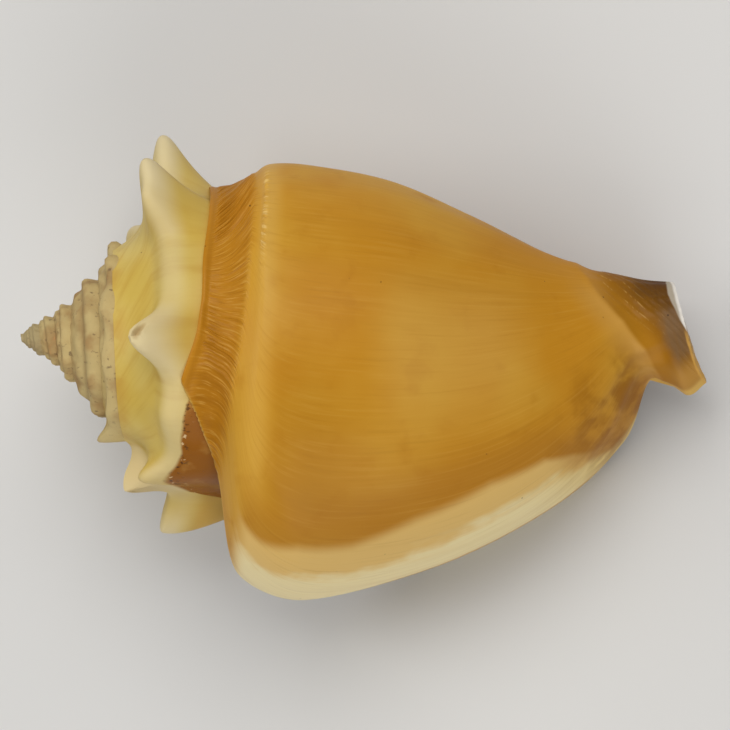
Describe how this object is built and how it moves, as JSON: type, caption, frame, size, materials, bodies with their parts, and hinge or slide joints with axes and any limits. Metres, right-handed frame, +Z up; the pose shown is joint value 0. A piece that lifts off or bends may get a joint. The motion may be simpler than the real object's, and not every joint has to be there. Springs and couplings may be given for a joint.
{
  "type": "conch shell",
  "caption": "Fighting conch sea shell, empty, with a knobbed pointed spire, a flared outer lip and an open mouth underneath, lying mouth down.",
  "frame": {"origin": "middle of the underside of the box round the shell as it lies on its mouth side", "axes": "+X from the spire's tip towards the siphonal canal, +Y away from the outer lip, +Z up out of the shell's back"},
  "size_m": [0.0842, 0.0582, 0.0446],
  "materials": {
    "shell": "glossy"
  },
  "bodies": {
    "root": {"shell": "shell"}
  },
  "joints": []
}
